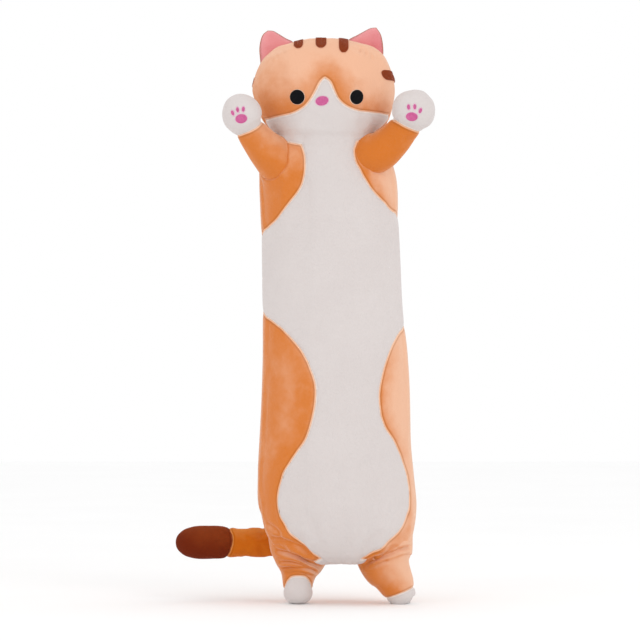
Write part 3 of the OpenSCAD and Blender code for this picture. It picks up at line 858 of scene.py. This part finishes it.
# The ears' inner pink, painted lighter on faces that point up and to the cat's right, as painted light
PINK = plush(
    "pink_pile", (214, 116, 122), (232, 152, 154), (240, 184, 184), (255, 214, 214),
    0.45, painted_light_from=(-0.3, 0.0, 0.6), base=0.5,
)
BROWN = plush(
    "brown_pile", (104, 30, 2), (130, 54, 16), (150, 78, 44), (200, 120, 80), 0.12, painted_light_from=PAINTED_LIGHT_FROM,
)
FILLING = plush(
    "fibre_filling", (214, 212, 206), (226, 224, 220), (236, 235, 232), (255, 255, 255), 0.1,
)
# Thread, its lit rows, and its pale rim
EMBROIDERED_BLACK = thread("black_thread", (8, 9, 12), (20, 21, 26), (248, 214, 190))
EMBROIDERED_BROWN = thread("brown_thread", (134, 50, 10), (150, 66, 24), (236, 180, 150))
EMBROIDERED_PINK = thread("magenta_thread", (206, 92, 148), (222, 122, 170), (238, 190, 214))
LOOKS = {
    "orange": (ORANGE, "orange_plush"), "painted_shade_orange": (PAINTED_SHADE_ORANGE, "orange_plush"),
    "head": (PAINTED_LIGHT_HEAD, "orange_plush"), "arm": (PAINTED_SHADE_ARM, "orange_plush"),
    "tail": (PAINTED_SHADE_TAIL, "orange_plush"), "filling": (FILLING, "filling"),
    "white": (WHITE, "white_plush"), "pink": (PINK, "pink_plush"),
    "brown": (BROWN, "brown_plush"), "eye": (EMBROIDERED_BLACK, "black_embroidery"),
    "stripe": (EMBROIDERED_BROWN, "brown_embroidery"), "pad": (EMBROIDERED_PINK, "magenta_embroidery"),
}


def dress(obj, look):
    """Gives a piece smooth shading and its material."""
    obj.data.polygons.foreach_set("use_smooth", np.ones(len(obj.data.polygons), bool))
    material, slot = LOOKS[look]
    obj.data.materials.clear()
    obj.data.materials.append(material)


# ---------- assembly ----------

LIMBS = {
    "arm_left": ARM_LEFT, "arm_right": ARM_RIGHT, "leg_left": LEG_LEFT, "leg_right": LEG_RIGHT, "tail": TAIL,
}
limb_shapes = {limb: limb_skin(limb, keys) for limb, keys in LIMBS.items()}
# How far the body cloth is raised at each limb's root, in mm
SWELL = {"arm_left": 2.5, "arm_right": 6.0, "leg_left": 1.5, "leg_right": 1.5}
body, body_parts = body_pieces([(limb_shapes[limb], swell) for limb, swell in SWELL.items()])
body_tree = tree_of(body)

BODY_REPLACES = {
    "front_panel": ("belly_panel", "muzzle_panel"),
    "forehead": ("forehead_panel",),
    "head_back": ("head_back_panel",),
    "side_left": ("side_panel_left",),
    "side_right": ("side_panel_right",),
}
# No filling of the body or head lies between these heights, round the neck
NECK_LOW, NECK_HIGH = 712, 742
for name, part in body_parts.items():
    obj = piece(name + "_cloth", part)
    dress(obj, {"front_panel": "white", "forehead": "head", "head_back": "head"}.get(name, "orange"))
    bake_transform(obj)
    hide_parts(*BODY_REPLACES[name])

# The seam between each limb's sleeve and its end, as a field that is over 0 on the end
SEAMS = {
    "arm_left": lambda p: (p - [105.7, -86, 744.2]) @ np.array([0.42, -0.22, 0.87]),
    "arm_right": lambda p: (p - [-135.8, -79, 740]) @ np.array([-0.45, -0.30, 0.84]),
    "leg_left": lambda p: 10.5 + (p[:, 0] - 83) * 0.42 - p[:, 2],
    "leg_right": lambda p: 44 - ((p[:, 0] + 61) / 24.5) ** 4 * 15 - (p[:, 1] + 42) * 0.2 - p[:, 2],
    "tail": lambda p: -165.5 - ((p[:, 2] - 95) / 22) ** 2 * 5 - (p[:, 1] - 63) * 0.05 - p[:, 0],
}
END_NAMES = {"arm": "paw", "leg": "toe_cap", "tail": "tip"}
# Two points along each sleeve, near its root and further out along its limb
REACH = {
    "arm_left": ([30, -38, 697], [84, -72, 722]), "arm_right": ([-62, -26, 684], [-112, -58, 716]),
    "leg_left": ([70, -5, 112], [80, -9, 52]), "leg_right": ([-54, -5, 112], [-58, -10, 50]),
    "tail": ([-50, 57, 96], [-104, 63, 95]),
}
for seed, (limb, skin) in enumerate(limb_shapes.items()):
    end = END_NAMES[limb.split("_")[0]]
    parts = limb_pieces(skin, SEAMS[limb], body_tree, ("sleeve", end), 20 + 3 * seed)
    sleeve = piece(f"{limb}_sleeve_cloth", parts["sleeve"])
    dress(sleeve, {"arm_left": "painted_shade_orange", "arm_right": "arm", "tail": "tail"}.get(limb, "orange"))
    start, stop = (tuple(to_frame(p)) for p in REACH[limb])
    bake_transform(sleeve)
    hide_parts(f"{limb}_sleeve")
    tip = piece(f"{limb}_{end}_cloth", parts[end])
    dress(tip, "brown" if limb == "tail" else "white")
    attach(tip, limb)
    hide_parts(f"{limb}_{end}")
    filling = piece(f"{limb}_filling", shrunk(skin, LIMB_INSET))
    dress(filling, "filling")
    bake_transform(filling)
    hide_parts(f"{limb}_stuffing")

# The filling of the body and of the head: its node, its body, and the heights between which it lies
FILLINGS = (("body_stuffing", "torso", 66, NECK_LOW), ("head_stuffing", "head", NECK_HIGH, 870))
for node, body_name, low, high in FILLINGS:
    filling = piece(node.replace("stuffing", "filling"), lump(low, high, BODY_INSET))
    dress(filling, "filling")
    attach(filling, body_name)
    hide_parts(node)


# ---------- ears ----------

EAR_Y = 0.0
EAR_THICK = 10.5
EAR_ROWS = 30
EAR_COLUMNS = 25
EAR_EDGE = 22.0  # distance from the edge given to the middle of an ear, in mm
EAR_SEAM = 1.9  # added everywhere, to keep the pale edge faint
EAR_BACK = [1.05, 1.0, 1.03]  # the back cloth's size beside the front's
EAR_GAP = 0.4  # from the back cloth's flat side to the ear's middle

# Seen from the front: the inner and outer edge of each ear, from its base inside the head to the tip.
# root: two points up the middle of the ear, above its base.
EARS = {
    "ear_left": {
        "inner": [[16, 862], [18, 879.5], [33.5, 889], [46, 896], [53, 899.3]],
        "outer": [[69, 838], [70.7, 852], [71.6, 864], [70.4, 878], [67.5, 890]],
        "tip": [61, 900], "root": ([46, EAR_Y, 864], [53, EAR_Y, 884]),
    },
    "ear_right": {
        "inner": [[-66, 858], [-68.5, 876], [-81, 883.5], [-93, 891], [-100, 894.8]],
        "outer": [[-118, 832], [-119, 848], [-120.5, 866], [-118.8, 880], [-115, 889.5]],
        "tip": [-108, 895.3], "root": ([-94, EAR_Y, 860], [-100, EAR_Y, 880]),
    },
}


def ear_grid(shape, side):
    """Half of an ear: across from its inner to its outer edge, up to the tip, bulging to one side."""
    across = np.linspace(-1, 1, EAR_COLUMNS)
    t = np.linspace(0, 1, EAR_ROWS)

    def edge_of(name):
        line = evenly(catmull(shape[name] + [shape["tip"]], 8), 2.2, [0, 1])
        along = np.linspace(0, 1, len(line))
        return np.array([np.interp(t, along, line[:, c]) for c in (0, 1)]).T

    inner, outer = edge_of("inner"), edge_of("outer")
    w = (across + 1) / 2
    flat = inner[:, None] * (1 - w)[None, :, None] + outer[:, None] * w[None, :, None]
    thick = EAR_THICK * np.clip(1.15 * (1 - t**3), 0, 1) ** 0.5
    bow = np.sqrt(np.clip(1 - across**2, 0, 1))[None, :] * thick[:, None]
    y = EAR_Y + side * bow
    verts = np.stack([flat[..., 0], y, flat[..., 1]], axis=2)
    quads = grid_quads(EAR_ROWS, EAR_COLUMNS)
    if side > 0:
        quads = quads[:, ::-1]
    edge = np.minimum(1 - np.abs(across), 1.0)[None, :] * EAR_EDGE + 0 * t[:, None]
    return verts.reshape(-1, 3), quads, edge.ravel()


for ear, shape in EARS.items():
    for half, side, look in (("front", -1, "pink"), ("back", 1, "orange")):
        verts, quads, edge = ear_grid(shape, side)
        if side > 0:
            middle = verts.mean(axis=0)
            verts = middle + (verts - middle) * EAR_BACK
            flat = verts * [1, 0, 1] + [0, EAR_Y + EAR_GAP, 0]
            quads = np.concatenate([quads, quads[:, ::-1] + len(verts)])
            verts = np.concatenate([verts, flat])
            edge = np.concatenate([edge, edge])
        obj = bpy_mesh(f"{ear}_{half}_cloth", to_frame(verts), quads)
        set_rows(obj.data, {"rest": to_frame(verts), "seam": edge + EAR_SEAM})
        dress(subdivided(obj), look)
        start, stop = (tuple(to_frame(p)) for p in shape["root"])
        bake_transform(obj)
        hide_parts(f"{ear}_{half}")


# ---------- embroidery ----------


def stitched(name, tree, patches, look, body_name, node, height=1.2):
    """Raised patches of thread. Each patch is a grid of rays, (origins, directions, edge), that find
    the skin under its points; edge is a point's distance from the rim of its patch."""
    verts, quads, rim = [], [], []
    for origins, directions, edge in patches:
        quads += (grid_quads(*edge.shape) + len(verts)).tolist()
        rim += edge.ravel().tolist()
        for origin, direction, e in zip(origins.reshape(-1, 3), directions.reshape(-1, 3), edge.ravel()):
            place, normal, _, _ = tree.ray_cast(Vector(origin), Vector(direction))
            if place is None:
                place, normal, _, _ = tree.find_nearest(Vector(origin))
            lift = height * math.sqrt(min(max(e, 0) / 1.5, 1.0)) - 0.5 * (e <= 0)
            verts.append(np.array(place) + np.array(normal) * lift)
    obj = bpy_mesh(name, to_frame(verts), quads)
    set_rows(obj.data, {"rest": to_frame(verts), "seam": np.array(rim)})
    dress(obj, look)
    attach(obj, body_name)
    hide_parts(node)


def oval(x, z, half_w, half_h, tilt):
    """An oval patch where the camera sees the point (x, z) of the middle plane."""
    radius = np.linspace(0, 1, 9)[:, None]
    turn = np.linspace(0, 2 * math.pi, 49)[None, :]
    u, v = half_w * radius * np.cos(turn), half_h * radius * np.sin(turn)
    c, s = math.cos(math.radians(tilt)), math.sin(math.radians(tilt))
    target = np.stack([x + u * c - v * s, 0 * u, z + u * s + v * c], axis=2)
    origins = np.broadcast_to(EYE, target.shape)
    directions = target - origins
    directions = directions / np.linalg.norm(directions, axis=2, keepdims=True)
    return origins, directions, (1 - radius) * min(half_w, half_h) + 0 * turn


def stripe(centre, half_w, start, stop, radius, upright):
    """A stripe with rounded ends, as rays from a centre inside the head that turn from start to stop
    degrees from the front: over the crown when upright, else round the side."""
    length = math.radians(abs(stop - start)) * radius
    along = np.linspace(0, 1, 61)
    s = length * (1 - np.cos(math.pi * along)) / 2
    cap = np.minimum(np.minimum(s, length - s) / (1.5 * half_w), 1)
    width = half_w * np.sqrt(np.maximum(1 - (1 - cap) ** 2, 0))
    across = np.linspace(-1, 1, 13)
    off = width[:, None] * across[None, :]
    edge = np.maximum(width[:, None] - np.abs(off), 0) * np.ones_like(off)
    edge = np.minimum(edge, np.minimum(s, length - s)[:, None])
    turn = np.radians(start + (stop - start) * s / length)[:, None] + 0 * off
    if upright:
        origins = np.stack([centre[0] + off, centre[1] + 0 * off, centre[2] + 0 * off], axis=2)
        directions = np.stack([0 * off, -np.cos(turn), np.sin(turn)], axis=2)
    else:
        origins = np.stack([centre[0] + 0 * off, centre[1] + 0 * off, centre[2] + off], axis=2)
        directions = np.stack([np.sin(turn), -np.cos(turn), 0 * off], axis=2)
    return origins, directions, edge


# Ovals: x, z, half width, half height and tilt, then the look, the node and how far it stands out
FACE = (
    ("eye_left", (30.5, 792, 11.2, 12.6, -12), "eye", 1.8),
    ("eye_right", (-62, 792, 12.4, 12.6, 0), "eye", 1.8),
    ("nose", (-23.5, 786, 11.6, 8.2, 12), "pad", 1.5),
)
for node, shape, look, height in FACE:
    stitched(f"{node}_stitching", body_tree, [oval(*shape)], look, "head", node, height)

# The stripes are cast onto the cloth from the middle of the head
HEAD_X, HEAD_Y, HEAD_Z = -19, -4, 800

# Stripes over the crown: x, half width and the angle of the front end. They share the rest.
CROWN = ((-60, 8.2, 44), (-25, 9.4, 42), (10, 8.4, 36))
CROWN_BACK = 112
CROWN_R = 84
crown = [stripe([x, HEAD_Y, HEAD_Z], w, low, CROWN_BACK, CROWN_R, True) for x, w, low in CROWN]
stitched("crown_stitching", body_tree, crown, "stripe", "head", "crown_stripes")

# Stripes round the sides: height, front end and back end
CHEEKS = {"left": (823, 56, 108), "right": (814, -79, -122)}
CHEEK_HALF_W = 8.8
CHEEK_R = 104
for side, (z, start, stop) in CHEEKS.items():
    shape = stripe([HEAD_X, HEAD_Y, z], CHEEK_HALF_W, start, stop, CHEEK_R, False)
    stitched(f"cheek_{side}_stitching", body_tree, [shape], "stripe", "head", f"cheek_stripe_{side}")

# Ovals of each paw: the palm, then the toes
PADS = {
    "arm_left": (
        (117.1, 761.3, 10.3, 7.6, -4),
        [(112.2, 776.1, 3.3, 5.8, 5), (121.6, 776.6, 3.3, 5.8, 0), (130.2, 770.6, 3.3, 5.8, -22)],
    ),
    "arm_right": (
        (-149.8, 758.2, 10.3, 8, 8),
        [(-163, 767, 3.2, 5.6, 22), (-155.5, 772, 3.2, 5.6, 8), (-146.7, 772.8, 3.2, 5.6, -5)],
    ),
}
for arm, (palm, toes) in PADS.items():
    tree = tree_of(limb_shapes[arm])
    stitched(f"{arm}_palm_stitching", tree, [oval(*palm)], "pad", arm, f"{arm}_palm_pad")
    stitched(f"{arm}_toe_stitching", tree, [oval(*p) for p in toes], "pad", arm, f"{arm}_toe_pads")

# ---------- floor, light and camera ----------

# A floor of 12 by 10 m, pale as the photo's background
floor = bpy_mesh("floor", [(-6, -4, 0), (6, -4, 0), (6, 6, 0), (-6, 6, 0)], [(0, 1, 2, 3)])
floor_look = Nodes("floor")
floor_place = floor_look.add("ShaderNodeTexCoord").outputs["Object"]
floor_tone = floor_look.noise(floor_place, 3.0)
floor_tone = floor_look.mix(floor_tone, linear(250, 250, 250), linear(254, 254, 254))
floor_bump = floor_look.bump(floor_tone, 0.0001)
floor.data.materials.append(floor_look.finish(floor_tone, floor_bump, Roughness=0.9))

world = bpy.data.worlds.new("studio")
bpy.context.scene.world = world
world.use_nodes = True
background = world.node_tree.nodes["Background"].inputs
background["Color"].default_value = (1, 1, 1, 1)
background["Strength"].default_value = 1.0


LAMPS_AIM = Vector((0, 0, 0.5))


def area_light(name, place, size, power):
    """A round lamp, aimed at the cat's middle."""
    lamp = bpy.data.lights.new(name, "AREA")
    lamp.shape = "DISK"
    lamp.size = size
    lamp.energy = power
    obj = bpy.data.objects.new(name, lamp)
    obj.location = place
    obj.rotation_euler = (LAMPS_AIM - Vector(place)).to_track_quat("-Z", "Y").to_euler()
    bpy.context.scene.collection.objects.link(obj)


area_light("key", (1.8, -2.6, 2.4), 1.6, 14)
area_light("fill", (-2.0, -2.2, 1.6), 1.8, 4)

lens = bpy.data.cameras.new("camera")
lens.sensor_width = SENSOR
lens.lens = SENSOR * -EYE[1] / VIEW_WIDTH
lens.clip_end = 60
camera = bpy.data.objects.new("camera", lens)
camera.location = to_frame(EYE)
camera.rotation_euler = (math.pi / 2, 0, 0)
bpy.context.scene.collection.objects.link(camera)
bpy.context.scene.camera = camera
bpy.context.scene.view_settings.view_transform = "Standard"
